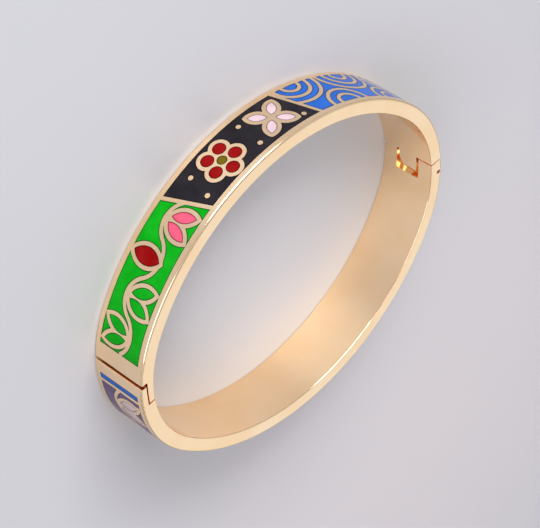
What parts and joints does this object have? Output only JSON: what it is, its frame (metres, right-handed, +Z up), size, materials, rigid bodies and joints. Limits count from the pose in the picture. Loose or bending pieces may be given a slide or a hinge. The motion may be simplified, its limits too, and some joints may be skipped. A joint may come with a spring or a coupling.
{
  "type": "enamel bangle",
  "caption": "Oval hinged bangle of gold-coloured metal, its outer face filled with coloured enamel between thin metal walls, closed by a lap clasp.",
  "frame": {"origin": "middle of the oval, on the surface that the bangle's side lies on", "axes": "+X along the oval's long axis, from the clasp to the hinge; +Y to the opening half; +Z up along the bangle's own axis"},
  "size_m": [0.0648, 0.0548, 0.0098],
  "materials": {
    "gold": "polished gold plate",
    "enamel_green": "glossy opaque enamel",
    "enamel_black": "glossy opaque enamel",
    "enamel_blue": "glossy opaque enamel",
    "enamel_crimson": "glossy opaque enamel",
    "enamel_pink": "glossy opaque enamel",
    "enamel_olive": "glossy opaque enamel",
    "enamel_blush": "glossy opaque enamel",
    "enamel_purple": "glossy opaque enamel",
    "enamel_plum": "glossy opaque enamel",
    "enamel_sage": "glossy opaque enamel"
  },
  "bodies": {
    "back": {"back_half": "gold", "hinge_pin": "gold", "back_blue": "enamel_blue", "back_purple": "enamel_purple", "back_plum": "enamel_plum", "back_sage": "enamel_sage", "back_green": "enamel_green", "back_blush": "enamel_blush", "back_pink": "enamel_pink", "back_crimson": "enamel_crimson", "back_olive": "enamel_olive"},
    "front": {"front_half": "gold", "clasp_tongue": "gold", "front_green": "enamel_green", "front_black": "enamel_black", "front_blue": "enamel_blue", "front_crimson": "enamel_crimson", "front_pink": "enamel_pink", "front_olive": "enamel_olive", "front_blush": "enamel_blush"}
  },
  "joints": [
    {"name": "front_opens", "type": "hinge", "parent": "back", "child": "front", "pos_m": [0.03133, -0.0037, 0.0049], "axis": [0, 0, -1], "range_deg": [0, 75]}
  ]
}
